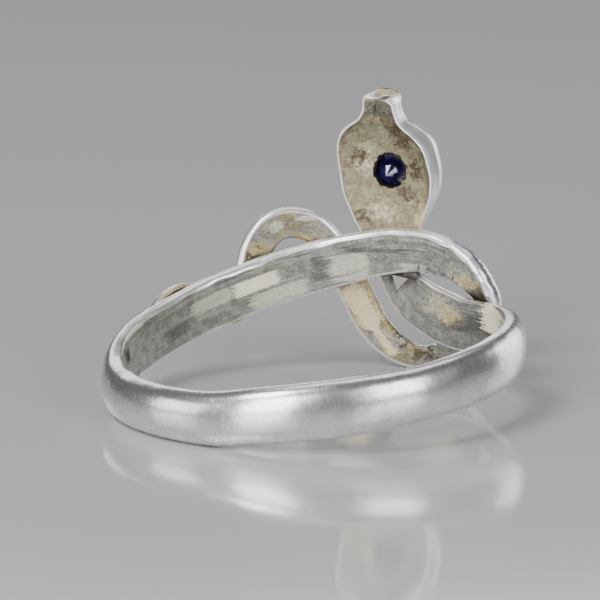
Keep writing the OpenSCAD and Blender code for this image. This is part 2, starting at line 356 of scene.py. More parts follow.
# The torn edge inside the hairpin bend, at the leaf-shaped gap: its depth, its pace, and the angles
# where it starts and ends
torn_depth = 0.6
torn_pace = 4
torn_start = (-300, -305)
torn_end = (-324, -319)
# Places in the noise where each kind of unevenness is read, so that no two are alike
edge_noise = 3
torn_noise = (0.4, 11.3)
dish_noise = 7


def edge_widths(length, i, row, layer):
    """Widths of the bevels at the positive and the negative side of a strand."""
    most = row[THICK] / 3
    edge = min(edge_w + wobble(Vector((length, 0, edge_noise)), 1.0, edge_change), most)
    broad = min(edge * broad_edge, most)
    if on_arch(row, layer):
        return broad, edge
    if i >= SHANK_END - 1:
        return edge, broad
    return edge, edge


def on_arch(row, layer):
    """Whether the tail is on its way over the band and down again, where its upper edge changes sides."""
    return layer == TAIL and row[ANGLE] > arch_start


def ring_at(length, phase, inset=0.0):
    """Ring of spots round the snake at a length along it, with its scales at the given phase."""
    i, f = station(length)
    row = smooth_row(SNAKE_ROWS, i, f)
    slope = smooth_row(SNAKE_ROWS, i, f, blend_slope)
    r = finger_r + row[LIFT]
    run = Vector((math.radians(slope[ANGLE]) * r, slope[HEIGHT])).normalized()
    layer = TAIL if i >= BAND_END and row[LIFT] > tail_lift else BAND
    carved = relief_at(row[ANGLE]) * min(1.0, row[WIDTH] / full_scale_w)
    edges = edge_widths(length, i, row, layer)
    torn = torn_depth * ease(*torn_start, row[ANGLE]) * ease(*torn_end, row[ANGLE])
    ring = []
    for across, out, share in profile(row[WIDTH] - 2 * inset, row[THICK] - 2 * inset, *edges):
        inside = 1.0 if share is None and out < inner_share * min(edges) else 0.0
        worn = carved if share is None and out > 0 or share in (0.0, 1.0) else 0.0
        if torn and across > 0:
            worn = 0.0
        elif worn and layer == TAIL and (across > 0) != on_arch(row, layer):
            inside, worn = 1.0, 0.0
        out += inset
        if share is not None and carved > 0:
            foot = min(1.0, foot_fade * min(share, 1 - share))
            out -= scale_depth * carved * scale_cut(phase, share) * foot
        out += wobble(Vector((length, across, out)), wobble_size, wobble_depth) - wobble_depth
        if torn and across > 0:
            bite = abs(noise.noise(Vector((length * torn_pace, *torn_noise))))
            across -= torn * bite * min(1.0, across)
        angle = math.radians(row[ANGLE]) - across * run.y / r
        height = row[HEIGHT] + across * run.x
        co = Vector(((r + out) * math.cos(angle), (r + out) * math.sin(angle), height))
        ring.append(Spot(co, length, across, 2 * across / row[WIDTH], inside, worn, layer))
    return ring


# A strand after the first starts with a thinner plug inside the strand before it
plug_length = 0.4
plug_inset = 0.06
# Step between rings where there are no scales, and the least length of a row of scales
plain_step = 0.25
least_pitch = 0.2


def strand(first, last):
    """One stretch of the snake, from a row of its table to another."""
    length, end = length_at(first), length_at(last)
    rings = []
    if first > 0:
        rings.append(ring_at(length - plug_length, 0.0, plug_inset))
    phase = 0.0
    while length < end:
        rings.append(ring_at(length, phase))
        row = smooth_row(SNAKE_ROWS, *station(length))
        pitch = max(least_pitch, row[WIDTH] / scale_cols)
        step = pitch / scale_rings if relief_at(row[ANGLE]) > 0 else plain_step
        length += step
        phase += step / pitch
    rings.append(ring_at(end, phase))
    return loft(rings)


# Turns from the head's own frame, with x to its right, y outwards and z up, to the ring's
on_head = Matrix.Rotation(math.radians(head_angle - 90), 4, "Z") @ Matrix.Translation((0, head_reach, 0))
on_stone = (
    on_head
    @ Matrix.Translation(stone_place)
    @ Matrix.Rotation(math.radians(stone_lean / 2), 4, "Z")
    @ Matrix.Rotation(math.radians(-90 + stone_lean), 4, "X")
)

# The two halves of the head meet at the jaw line. The skull starts a little under it, stands a little proud
# of the throat, and goes straight up at its sides before it rounds
head_step = 0.08
jaw_line = 0.78
cheek_turn = 0.3
skull_overlap = 0.06
skull_overhang = 0.012
skull_side = 0.12
skull_points = 61
snout_drop = 0.04
# Scales on the skull: their number across, the length of a row, and the share beside the jaws that has none
skull_cols = 9
scale_pitch = 0.4
temple = 0.15
# The rim round the hollow back, with its rounded corners
rim = 0.14
rim_round = 0.05
rim_corner = 0.3
rim_points = 3
# The hollow back: how full its curve is, the size and depth of its waves, and how soon they fade in
dish_points = 33
dish_fullness = 0.6
dish_wave = 0.8
dish_change = 0.03
dish_fade = 3
# The groove under the snout, between the two sides of the upper jaw
groove_x = -0.56
groove_w = 0.09
groove_depth = 0.09
groove_heights = (11.6, 11.9)


def head_sections():
    """Rows of the head's table at close steps."""
    rows = []
    for i in range(len(HEAD_ROWS) - 1):
        passes = max(1, round((HEAD_ROWS[i + 1][HEAD_Z] - HEAD_ROWS[i][HEAD_Z]) / head_step))
        rows += [smooth_row(HEAD_ROWS, i, k / passes) for k in range(passes)]
    rows.append(list(HEAD_ROWS[-1]))
    return rows


def throat_ring(z, left, right, jaw_left, jaw_right, dish, worn=0.0):
    """Level ring through the lower half of the head, hollow at the back."""
    flat = min(rim, (right - left) / 4)
    turn = min(rim_round, flat / 2)
    corner = rim_corner * turn
    points = [(left, turn), (left + corner, corner), (left + turn, 0)]
    for k in range(dish_points):
        f = k / (dish_points - 1)
        x = mix(left + flat, right - flat, f)
        y = dish * max(0.0, math.sin(math.pi * f)) ** dish_fullness
        y += wobble(Vector((x, z, dish_noise)), dish_wave, dish_change) * min(1.0, dish_fade * dish)
        y += groove_depth * math.exp(-((x - groove_x) / groove_w) ** 2) * ease(*groove_heights, z)
        points.append((x, y))
    points += [(right - turn, 0), (right - corner, corner), (right, turn)]
    points += [(mix(right, jaw_right, cheek_turn), jaw_line / 2), (jaw_right, jaw_line)]
    points += [(jaw_left, jaw_line), (mix(left, jaw_left, cheek_turn), jaw_line / 2)]
    hollow = range(rim_points, rim_points + dish_points)
    rims = [*range(rim_points), *range(hollow.stop, hollow.stop + rim_points)]
    return [
        Spot(on_head @ Vector((x, y, z)), z, x, 0.0, float(k in hollow), 1.0 if k in rims else worn, HEAD)
        for k, (x, y) in enumerate(points)
    ]


def skull_ring(z, left, right, crown, phase):
    """Level ring through the upper half of the head."""
    middle, half = (left + right) / 2, (right - left) / 2 + skull_overhang
    base, side = jaw_line - skull_overlap, jaw_line + skull_side
    points = [(middle - half, base), (middle + half, base)]
    for k in range(skull_points):
        f = k / (skull_points - 1)
        turn = math.pi * f
        out = side + (crown - side) * max(0.0, math.sin(turn)) ** dome_fullness
        out -= scale_depth * scale_cut(phase, f, skull_cols) * ease(0, temple, min(f, 1 - f))
        points.append((middle + half * math.cos(turn), out))
    return [Spot(on_head @ Vector((x, y, z)), z, x, 0.0, 0.0, 0.0, HEAD) for x, y in points]


def throat():
    """Lower half of the head, from the neck to the end of the lower jaw."""
    rows = head_sections()
    rings = [throat_ring(s[HEAD_Z], s[BACK_L], s[BACK_R], s[JAW_L], s[JAW_R], s[DISH]) for s in rows]
    for k, (z, left, right) in enumerate(LOWER_JAW_END):
        rings.append(throat_ring(z, left, right, left, right, rows[-1][DISH] / 2, float(k > 0)))
    return loft(rings)


def skull():
    """Upper half of the head, from the nape to the snout."""
    rows = head_sections()
    rings = [skull_ring(s[HEAD_Z], s[JAW_L], s[JAW_R], s[CROWN], s[HEAD_Z] / scale_pitch) for s in rows[2:]]
    for k, (z, left, right) in enumerate(UPPER_JAW_END):
        rings.append(skull_ring(z, left, right, rows[-1][CROWN] - snout_drop * (k + 1) ** 2, z / scale_pitch))
    return loft(rings)


def spun(outline, turn, segments=64):
    """A closed turned form from an outline of (radius, height) points that starts and ends on the axis."""
    bm = bmesh.new()
    verts = [bm.verts.new((r, 0, h)) for r, h in outline]
    for a, b in zip(verts, verts[1:]):
        bm.edges.new((a, b))
    bmesh.ops.spin(
        bm, geom=bm.verts[:] + bm.edges[:], axis=(0, 0, 1), cent=(0, 0, 0), steps=segments,
        angle=math.tau, use_merge=True, use_duplicate=False,
    )
    bmesh.ops.remove_doubles(bm, verts=bm.verts, dist=1e-5)
    bmesh.ops.recalc_face_normals(bm, faces=bm.faces)
    bm.transform(turn)
    return bm


# The collar round the stone, the lip burnished over its girdle, and the gap in its seat
collar_r = stone_r + 0.28
collar_h = 0.24
collar_foot = 0.5
collar_round = 0.12
lip = 0.1
seat_gap = 0.03
# How far a cutter reaches past what it cuts
beyond = 1.0


def collar():
    return spun(
        [
            (0, -collar_foot),
            (collar_r, -collar_foot),
            (collar_r, collar_h - collar_round),
            (collar_r - collar_round / 3, collar_h - collar_round / 4),
            (collar_r - collar_round, collar_h),
            (0, collar_h),
        ],
        on_stone,
    )


def seat():
    """Cutter for the place that the stone sits in."""
    free_r = stone_r + seat_gap
    return spun(
        [
            (0, -pavilion_h * free_r / stone_r - seat_gap),
            (free_r, -seat_gap),
            (free_r, girdle_h + seat_gap),
            (stone_r - lip, girdle_h + seat_gap + lip),
            (stone_r - lip, collar_h + beyond),
            (0, collar_h + beyond),
        ],
        on_stone,
    )


# The drilled hole behind the stone, from behind the head's back to the seat, and how uneven it is
light_hole_r = 0.81
hole_middle = Vector((-0.07, 0, 9.24))
hole_end = 1.2
hole_wave = 0.28
hole_change = 0.13


def light_hole():
    """Cutter for the drilled hole behind the stone, a little uneven."""
    outline = [(0, -beyond), (light_hole_r, -beyond), (light_hole_r, hole_end), (0, hole_end)]
    bm = spun(outline, Matrix.Identity(4))
    for v in bm.verts:
        side = Vector((v.co.x, v.co.y, 0))
        if side.length > light_hole_r / 2:
            v.co += side.normalized() * wobble(side, hole_wave, hole_change)
    bm.transform(on_head @ Matrix.Translation(hole_middle) @ Matrix.Rotation(math.radians(-90), 4, "X"))
    return bm


# The three-cornered window through the neck
window_r = 0.43
window_round = 0.09
window_place = Vector((3.98, 8.2, 4.27))
window_turn = 14
window_slope = -102
window_depth = 3.0


def notch():
    """Cutter for the small window through the neck, just under the band."""
    bm = bmesh.new()
    bmesh.ops.create_cone(
        bm, cap_ends=True, segments=3, radius1=window_r, radius2=window_r, depth=window_depth,
    )
    place = Matrix.Translation(window_place) @ Matrix.Rotation(math.radians(window_slope), 4, "X")
    # a cone's own first corner lies on its y axis
    turn = Matrix.Rotation(math.radians(window_turn), 4, "Z")
    bm.transform(place @ turn @ Matrix.Translation((0, 0, window_depth / 2)))
    bmesh.ops.bevel(
        bm, geom=[e for e in bm.edges if abs(e.verts[0].co.y - e.verts[1].co.y) > 1], offset=window_round,
        offset_type="OFFSET", segments=3, profile=0.5, affect="EDGES", material=-1,
    )
    return bm


# The eyes, either side of the head
eye_r = 0.27
eye_sides = (-2.02, 1.04)
eye_out = 1.27
eye_height = 11.06


def eyes():
    bm = bmesh.new()
    for x in eye_sides:
        place = on_head @ Matrix.Translation((x, eye_out, eye_height))
        bmesh.ops.create_icosphere(bm, subdivisions=3, radius=eye_r, matrix=place)
    return bm


def made(name, bm):
    """Object with the form's mesh."""
    mesh = bpy.data.meshes.new(name)
    bm.to_mesh(mesh)
    bm.free()
    obj = bpy.data.objects.new(name, mesh)
    bpy.context.scene.collection.objects.link(obj)
    return obj


# Edges shorter than this, left by the cutters, are closed up
least_edge = 0.0005


def cleaned(mesh):
    """Takes out the loose crumbs and the slivers of metal that the cutters leave."""
    bm = bmesh.new()
    bm.from_mesh(mesh)
    unseen = set(bm.verts)
    shells = []
    while unseen:
        shell = {unseen.pop()}
        front = list(shell)
        while front:
            near = {e.other_vert(v) for v in front for e in v.link_edges} - shell
            shell |= near
            front = list(near)
        unseen -= shell
        shells.append(shell)
    shells.sort(key=len)
    bmesh.ops.delete(bm, geom=[v for shell in shells[:-1] for v in shell], context="VERTS")
    bmesh.ops.dissolve_degenerate(bm, dist=least_edge, edges=bm.edges)
    bm.to_mesh(mesh)
    bm.free()
    return mesh


def fuse(name, solids, cutters):
    """One solid of the metal: the forms are soldered into one, and the cutters taken out."""
    body = solids[0]
    for other, operation in [(s, "UNION") for s in solids[1:]] + [(c, "DIFFERENCE") for c in cutters]:
        step = body.modifiers.new(other.name, "BOOLEAN")
        step.operation = operation
        step.object = other
        step.solver = "MANIFOLD"
    bpy.context.view_layer.update()
    whole = bpy.data.meshes.new_from_object(body.evaluated_get(bpy.context.evaluated_depsgraph_get()))
    body.modifiers.clear()
    body.data = cleaned(whole)
    body.name = name
    for spare in solids[1:] + cutters:
        bpy.data.objects.remove(spare)
    return body


def snake_silver():
    """The snake with its head, collar and eyes, as one piece of metal."""
    return fuse(
        "snake_silver",
        [
            made("shank", strand(0, SHANK_END)),
            made("band", strand(SHANK_END, BAND_END)),
            made("tail", strand(BAND_END, len(SNAKE_ROWS) - 1)),
            made("throat", throat()),
            made("skull", skull()),
            made("collar", collar()),
            made("eyes", eyes()),
        ],
        [made("seat", seat()), made("light_hole", light_hole()), made("notch", notch())],
    )


# Sides of the round blank that the stone is cut from
blank_sides = 72


def sapphire_stone():
    """Round stone cut flat by flat: crown and table outwards, pavilion down to its point."""
    bm = bmesh.new()
    full = crown_h + girdle_h + pavilion_h
    middle = Matrix.Translation((0, 0, full / 2 - pavilion_h))
    bmesh.ops.create_cone(
        bm, cap_ends=True, segments=blank_sides, radius1=stone_r, radius2=stone_r, depth=full, matrix=middle,
    )
    pavilion = math.atan2(pavilion_h, stone_r)
    crown = math.atan2(crown_h, stone_r - table_r)
    top = girdle_h + crown_h
    # facets as count, turn, slope from the girdle's plane, and the (radius, height) that they pass through
    cuts = [
        (12, 0.0, -pavilion, (stone_r, 0.0)),
        (24, 7.5, -pavilion - math.radians(1.5), (stone_r, -0.01)),
        (12, 0.0, crown, (stone_r, girdle_h)),
        (24, 7.5, crown + math.radians(8), (stone_r, girdle_h + 0.03)),
        (12, 15.0, crown - math.radians(12), (table_r + 0.04, top)),
        (1, 0.0, 0.0, (0.0, top)),
    ]
    for count, first, slope, (r, h) in cuts:
        for k in range(count):
            turn = Matrix.Rotation(math.radians(first + 360 * k / count), 3, "Z")
            out = Vector((math.sin(abs(slope)), 0, math.cos(slope) * (-1 if slope < 0 else 1)))
            cut = bmesh.ops.bisect_plane(
                bm, geom=bm.verts[:] + bm.edges[:] + bm.faces[:], dist=1e-6,
                plane_co=turn @ Vector((r, 0, h)), plane_no=turn @ out, clear_outer=True,
            )
            edges = [g for g in cut["geom_cut"] if isinstance(g, bmesh.types.BMEdge)]
            if len(edges) > 2:
                bmesh.ops.contextual_create(bm, geom=edges)
    bmesh.ops.remove_doubles(bm, verts=bm.verts, dist=1e-4)
    bmesh.ops.recalc_face_normals(bm, faces=bm.faces)
    bm.transform(on_stone)
    return made("sapphire_stone", bm)


# Rays that tell how shut in a point is: their reach, their start off the surface, their number and leans
crease_reach = 1.2
crease_start = 0.02
crease_rays = 8
crease_leans = (1.1, 0.45)


def shut_in(bvh, co, normal):
    """How much of the sky over a point the ring itself hides nearby, from 0 to 1."""
    side = normal.orthogonal().normalized()
    other = normal.cross(side)
    start = co + normal * crease_start
    hidden = 0.0
    for k in range(crease_rays):
        turn = math.tau * k / crease_rays
        lean = crease_leans[k % 2]
        ray = (normal + lean * (side * math.cos(turn) + other * math.sin(turn))).normalized()
        distance = bvh.ray_cast(start, ray, crease_reach)[3]
        if distance is not None:
            hidden += 1 - distance / crease_reach
    return hidden / crease_rays


# The wall of the drilled hole: how far past its radius it may lie, its two ends, and how far it may lean
hole_slack = 0.1
hole_wall = (0.3, 1.1)
sideways = 0.9


def in_light_hole(co, normal):
    """Whether a point is on the wall of the drilled hole."""
    turn_back = on_head.inverted()
    off = turn_back @ co - hole_middle
    facing = (turn_back.to_3x3() @ normal).y
    near_axis = math.hypot(off.x, off.z) < light_hole_r + hole_slack
    return near_axis and hole_wall[0] < off.y < hole_wall[1] and abs(facing) < sideways


def read_surface(obj):
    """Writes on every point how it lies on the piece, for the material to follow."""
    mesh = obj.data
    near = KDTree(len(spots))
    for k, spot in enumerate(spots):
        near.insert(spot.co, k)
    near.balance()
    bvh = BVHTree.FromPolygons([v.co for v in mesh.vertices], [p.vertices for p in mesh.polygons])
    found = [spots[near.find(v.co)[1]] for v in mesh.vertices]
    # the drilled hole's wall counts as wholly shut in, so that it is painted in shade
    shut = [1.0 if in_light_hole(v.co, v.normal) else shut_in(bvh, v.co, v.normal) for v in mesh.vertices]
    flow = mesh.attributes.new("flow", "FLOAT_VECTOR", "POINT")
    flow.data.foreach_set("vector", [x for f in found for x in (f.along, f.across, f.share)])
    values = {
        "inside": [f.inside for f in found],
        "worn_edge": [f.edge for f in found],
        "layer": [float(f.layer) for f in found],
        "crease": shut,
    }
    for name, data in values.items():
        mesh.attributes.new(name, "FLOAT", "POINT").data.foreach_set("value", data)


def finished(obj, material, node, smooth_under=None):
    """Brings a piece to real size, gives it its finish and puts it in the CAD node's place."""
    obj.data.transform(Matrix.Scale(METRES, 4))
    obj.data.materials.clear()
    obj.data.materials.append(material)
    if smooth_under:
        obj.data.shade_smooth()
        obj.data.set_sharp_from_angle(angle=math.radians(smooth_under))
    else:
        obj.data.shade_flat()
    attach(obj, "root")
    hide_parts(node)


class Wire:
    """A value that flows between nodes. Arithmetic on it adds Math nodes."""

    def __init__(self, finish, socket):
        self.finish = finish
        self.socket = socket

    def math(self, operation, a, b=0.0):
        return self.finish.wire("ShaderNodeMath", {"operation": operation}, {0: a, 1: b})

    def __add__(self, other):
        return self.math("ADD", self, other)

    __radd__ = __add__

    def __sub__(self, other):
        return self.math("SUBTRACT", self, other)

    def __rsub__(self, other):
        return self.math("SUBTRACT", other, self)

    def __mul__(self, other):
        return self.math("MULTIPLY", self, other)

    __rmul__ = __mul__

    def __pow__(self, other):
        return self.math("POWER", self, other)

    def most(self, other):
        return self.math("MAXIMUM", self, other)

    def grey(self):
        """The value as a colour, the same in red, green and blue."""
        return self.finish.wire("ShaderNodeCombineColor", {}, {0: self, 1: self, 2: self})

    def between(self, low, high):
        """0 at low and 1 at high, smoothly. High may be the lower one."""
        return self.finish.wire(
            "ShaderNodeMapRange", {"interpolation_type": "SMOOTHSTEP"},
            {"Value": self, "From Min": low, "From Max": high},
        )


class Finish:
    """A material under construction."""

    def __init__(self, name):
        self.material = bpy.data.materials.new(name)
        self.material.use_nodes = True
        self.tree = self.material.node_tree
        self.tree.nodes.clear()
        self.place = self.wire("ShaderNodeTexCoord", out="Object")

    def node(self, kind, settings=None, inputs=None):
        """A node of a type. Its settings are made first, then its sockets' values and links."""
        fresh = self.tree.nodes.new(kind)
        for name, value in (settings or {}).items():
            setattr(fresh, name, value)
        for key, value in (inputs or {}).items():
            if isinstance(value, Wire):
                self.tree.links.new(value.socket, fresh.inputs[key])
            else:
                fresh.inputs[key].default_value = value
        return fresh

    def wire(self, kind, settings=None, inputs=None, out=0):
        return Wire(self, self.node(kind, settings, inputs).outputs[out])

    def attribute(self, name, out="Fac"):
        return self.wire("ShaderNodeAttribute", {"attribute_name": name}, out=out)

    def vector(self, operation, a, b):
        """Vector maths. A dot product comes out as a number."""
        out = "Value" if operation == "DOT_PRODUCT" else "Vector"
        return self.wire("ShaderNodeVectorMath", {"operation": operation}, {0: a, 1: b}, out=out)

    def stretched(self, place, factors):
        return self.vector("MULTIPLY", place, factors)

    def millimetres(self):
        """Places on the piece in millimetres."""
        return self.wire("ShaderNodeVectorMath", {"operation": "SCALE"}, {0: self.place, "Scale": 1 / METRES})

    def noise(self, place, scale, detail=2.0, lumpiness=0.5, out=0):
        """Noise as a number, or as a colour where out is Color."""
        inputs = {"Vector": place, "Scale": scale, "Detail": detail, "Roughness": lumpiness}
        return self.wire("ShaderNodeTexNoise", {}, inputs, out)

    def blend(self, factor, a, b):
        """Colour a where the factor is 0 and b where it is 1."""
        return self.wire("ShaderNodeMix", {"data_type": "RGBA"}, {0: factor, 6: a, 7: b}, out=2)

    def surface(self, **inputs):
        named = {key.replace("_", " "): value for key, value in inputs.items()}
        shader = self.wire("ShaderNodeBsdfPrincipled", {}, named)
        self.node("ShaderNodeOutputMaterial", {}, {"Surface": shader})
        return self.material


# Marks on the metal, and patches of painted reflection and painted shade, as blocks in the view from behind:
# the middle across and its height, half the width and the height, the turn in degrees, and the layer that
# they lie on
MARK_X, MARK_Z, MARK_W, MARK_H, MARK_TURN, MARK_LAYER = range(6)
# painted reflections: cream patches of light on the inner faces and on the loop
PAINTED_REFLECTIONS = [
    # the band's inner face
    (-2.65, 4.13, 1.14, 0.36, 18, BAND),
    # the neck's inner face
    (8.15, 3.55, 0.45, 0.70, 0, BAND),
    # the loop
    (2.25, 2.85, 1.15, 0.56, -57, TAIL),
    (3.25, 1.30, 0.95, 0.22, -52, TAIL),
]
PALE = [
    (-4.70, 3.50, 1.00, 0.35, 20, BAND),
    (-1.60, 3.57, 1.55, 0.40, 17, BAND),
    (1.68, 4.85, 0.95, 0.70, 8, BAND),
    (4.60, 4.90, 0.60, 0.40, 0, BAND),
    (-1.75, 6.60, 0.30, 0.25, 30, TAIL),
    (-0.40, 6.95, 0.45, 0.12, 0, TAIL),
]
# painted shade: under the snout and in dark places of the inner faces
SHADED = [
    (0.25, 4.75, 0.45, 0.72, 0, BAND),
    (-2.30, 3.62, 0.70, 0.14, 18, BAND),
    (2.80, 5.75, 2.10, 0.14, 2, BAND),
    (3.90, 4.60, 1.10, 0.16, 12, BAND),
    (-3.60, 4.55, 1.30, 0.08, 16, BAND),
    (-6.30, 2.35, 0.70, 0.35, 25, BAND),
    (7.00, 2.90, 1.20, 0.40, 20, BAND),
    (3.15, 12.20, 0.95, 0.42, 0, HEAD),
]
SPECKLED = [
    (5.90, 3.40, 0.95, 0.70, -35, BAND),
    (6.90, 4.80, 0.90, 0.65, -30, BAND),
    (3.25, 7.30, 0.70, 0.50, 0, HEAD),
    (5.00, 7.30, 0.35, 0.80, 0, HEAD),
    (2.60, 10.30, 0.60, 0.30, 0, HEAD),
    (2.60, 9.40, 0.90, 0.30, 30, HEAD),
]
GOLDEN = [
    (6.20, 3.10, 0.70, 0.45, -35, BAND),
    (7.20, 4.60, 0.70, 0.40, -30, BAND),
    (-6.30, 3.90, 0.90, 0.60, 0, TAIL),
    (-2.60, 5.60, 0.60, 0.45, 0, TAIL),
    (5.05, 7.20, 0.30, 0.80, 0, HEAD),
]
BROWN = [
    (3.95, 10.95, 1.25, 0.40, -53, HEAD),
    (4.75, 9.45, 0.38, 0.75, 0, HEAD),
    (4.30, 8.25, 0.80, 0.45, -10, HEAD),
    (2.10, 9.85, 0.30, 0.50, 0, HEAD),
    (2.25, 6.95, 0.55, 0.45, 0, HEAD),
    (3.00, 11.70, 0.70, 0.12, 0, HEAD),
    (4.00, 4.30, 0.65, 0.45, 0, BAND),
    (7.50, 4.35, 0.40, 0.16, 0, BAND),
    (4.10, 1.55, 1.30, 0.30, -48, TAIL),
    (5.20, 0.75, 0.90, 0.40, 0, TAIL),
    (-6.00, 4.10, 0.40, 0.30, 0, TAIL),
    (-2.90, 5.20, 0.70, 0.25, 20, TAIL),
]
# dark lines, painted like the creases: painted shade in the mouth line and in the groove under the snout, and
# dark streaks on the band
DARK = [
    (-8.50, 2.15, 0.14, 0.60, 8, BAND),
    (-0.60, 5.42, 1.20, 0.035, 13, BAND),
    (3.40, 12.66, 0.65, 0.06, 0, HEAD),
    (2.85, 12.20, 0.05, 0.35, 0, HEAD),
]
BEIGE = [
    (3.45, 12.88, 0.80, 0.20, 0, HEAD),
]


class Tone:
    """Colours of the silver and of what lies on it, and of its painted reflections, painted highlights and
    painted shade.
    """

    polished = (0.86, 0.85, 0.86, 1)
    clouded = (0.50, 0.49, 0.50, 1)
    grey = (0.36, 0.365, 0.33, 1)
    dark_grey = (0.23, 0.23, 0.21, 1)
    beige = (0.37, 0.35, 0.235, 1)
    dark_beige = (0.25, 0.225, 0.14, 1)
    shaded = (0.11, 0.113, 0.11, 1)
    pale = (0.74, 0.75, 0.62, 1)
    streak = (0.72, 0.71, 0.64, 1)
    file_cut = (0.10, 0.10, 0.10, 1)
    dark_fleck = (0.14, 0.10, 0.06, 1)
    light_fleck = (0.75, 0.68, 0.52, 1)
    rusty = (0.52, 0.30, 0.17, 1)
    speckled = (1.0, 0.88, 0.58, 1)
    gilt = (0.72, 0.54, 0.17, 1)
    tarnish = (0.08, 0.05, 0.025, 1)
    white_cream = (1.0, 1.0, 0.82, 1)
    yellow_cream = (0.97, 0.90, 0.62, 1)
    orange_cream = (0.85, 0.58, 0.28, 1)
    # the bevels' colours, whiter than the polished metal: painted highlight on the worn edges
    bevel = (0.98, 0.97, 0.97, 1)
    golden_bevel = (0.93, 0.78, 0.45, 1)
    beige_cap = (0.33, 0.29, 0.19, 1)
    # near black: painted shade in creases, grooves and the drilled hole, with some dirt
    dark_shade_and_dirt = (0.05, 0.035, 0.02, 1)


class Silver(Finish):
    """Silver that wear has polished outside, and that the file and tarnish have marked inside, with painted
    reflections, painted highlights on its bevels and painted shade in its creases.
    """

    def __init__(self, name):
        super().__init__(name)
        self.mm = self.millimetres()
        self.flow = self.attribute("flow", "Vector")
        self.inside = self.attribute("inside").between(0.3, 0.7)
        self.edge = self.attribute("worn_edge").between(0.2, 0.8)
        self.layer = self.attribute("layer")
        self.beyond_band = self.layer.between(0.3, 0.7)
        self.on_the_head = self.layer.between(1.3, 1.7)
        self.bare_side = self.on_the_head * (1 - self.inside)
        self.read_grain()
        self.place_marks()
        self.place_tarnish()

    def read_grain(self):
        """Unevenness, from clouds down to grains, and along and across the strokes of the file."""
        self.cloudy = self.noise(self.mm, 0.8, 3)
        self.blotchy = self.noise(self.mm, 2.2, 6, 0.65)
        self.grainy = self.noise(self.mm, 7, 6, 0.75)
        self.brushed = self.noise(self.stretched(self.flow, (0.45, 10, 1)), 1.0, 4, 0.6)
        self.crossed = self.noise(self.stretched(self.mm, (5, 5, 24)), 1.0, 3, 0.6)
        self.scratched = self.noise(self.stretched(self.flow, (9, 3, 1)), 1.0, 2, 0.4)
        self.flecks = self.grainy.between(0.47, 0.53)
        self.dark_flecks = self.grainy.between(0.54, 0.60)
        self.light_flecks = self.grainy.between(0.47, 0.41)

    def shifted(self, noises, reach):
        """Places pushed about by a noise colour, up to half the reach either way."""
        push = self.vector("SUBTRACT", noises, (0.5, 0.5, 0.5))
        return self.vector("ADD", self.mm, self.stretched(push, reach))

    def marked(self, place, rows, soft):
        """Where the marks of a table lie: blocks that fade over the share soft."""
        whole = None
        for row in rows:
            cos, sin = math.cos(math.radians(row[MARK_TURN])), math.sin(math.radians(row[MARK_TURN]))
            w, h = row[MARK_W], row[MARK_H]
            offset = self.vector("SUBTRACT", place, (row[MARK_X], 0, row[MARK_Z]))
            along = self.vector("DOT_PRODUCT", offset, (cos / w, 0, sin / w))
            up = self.vector("DOT_PRODUCT", offset, (-sin / h, 0, cos / h))
            away = (along ** 8 + up ** 8) ** 0.125
            same = {0: self.layer, 1: row[MARK_LAYER], 2: 0.4}
            mark = away.between(1.0, 1.0 - soft) * self.wire("ShaderNodeMath", {"operation": "COMPARE"}, same)
            whole = mark if whole is None else whole.most(mark)
        return whole

    def place_marks(self):
        # strokes pull the marks' ends out along the view, and tarnish eats their outlines
        stroked = self.shifted(self.blend(0.5, self.brushed.grey(), self.crossed.grey()), (2.2, 0, 0.25))
        eaten = self.shifted(self.noise(self.mm, 2.6, 5, 0.65, "Color"), (2.0, 0, 2.0))
        # the head's back, and not its front
        at_back = self.vector("DOT_PRODUCT", self.mm, (0, 1, 0)).between(10.7, 10.4)
        # painted reflections, as cream patches of light on the inner faces
        self.painted_reflection = self.marked(stroked, PAINTED_REFLECTIONS, 0.12) * self.inside
        self.pale = self.marked(stroked, PALE, 0.2) * self.inside
        self.shaded = self.marked(stroked, SHADED, 0.4) * self.inside
        self.speckled = self.marked(eaten, SPECKLED, 0.6) * self.inside
        self.golden = self.marked(eaten, GOLDEN, 0.7) * self.inside.most(self.edge)
        self.brown = self.marked(eaten, BROWN, 0.7) * self.inside
        self.beige_cap = self.marked(self.mm, BEIGE, 0.4) * at_back
        self.dark = self.marked(self.mm, DARK, 0.8) * self.inside.most(self.beyond_band * at_back)

    def place_tarnish(self):
        """Gilt at the tail's inner sides, brown tarnish, and painted shade with some dirt where the ring
        shuts a place in, in the drilled hole and along the dark lines.
        """
        side = self.wire("ShaderNodeSeparateXYZ", {}, {0: self.flow}, out="Z")
        at_sides = (side * side).between(0.12, 0.7) * self.beyond_band * self.inside
        gilt = (at_sides * self.cloudy.between(0.42, 0.56)).most(self.golden)
        self.gilded = gilt * (0.2 + self.flecks * 0.8)
        self.tarnished = self.brown * (0.65 + self.flecks * 0.35)
        # painted shade where the ring shuts a place in, with some dirt, and along the dark lines
        shut_in = self.attribute("crease") + (self.blotchy - 0.5) * 0.5
        self.shade_and_dirt = shut_in.between(0.25, 0.75).most(self.dark)
        self.dull = self.inside * (1 - self.painted_reflection) * (1 - self.edge)

    def filed(self):
        """Colour of the inner faces, as cast and filed, with painted shade on the shaded marks."""
        mottle = self.blotchy.between(0.38, 0.62)
        grey = self.blend(mottle, Tone.grey, Tone.dark_grey)
        beige = self.blend(mottle, Tone.beige, Tone.dark_beige)
        warm = self.on_the_head.most(self.beyond_band * self.cloudy.between(0.45, 0.55))
        streaks = self.brushed.between(0.54, 0.66) * 0.35 + self.crossed.between(0.58, 0.72) * 0.1
        cuts = self.brushed.between(0.42, 0.34) * 0.45
        rusty = self.noise(self.mm, 8, 3, 0.6).between(0.58, 0.66) * self.on_the_head
        colour = self.blend(warm, grey, beige)
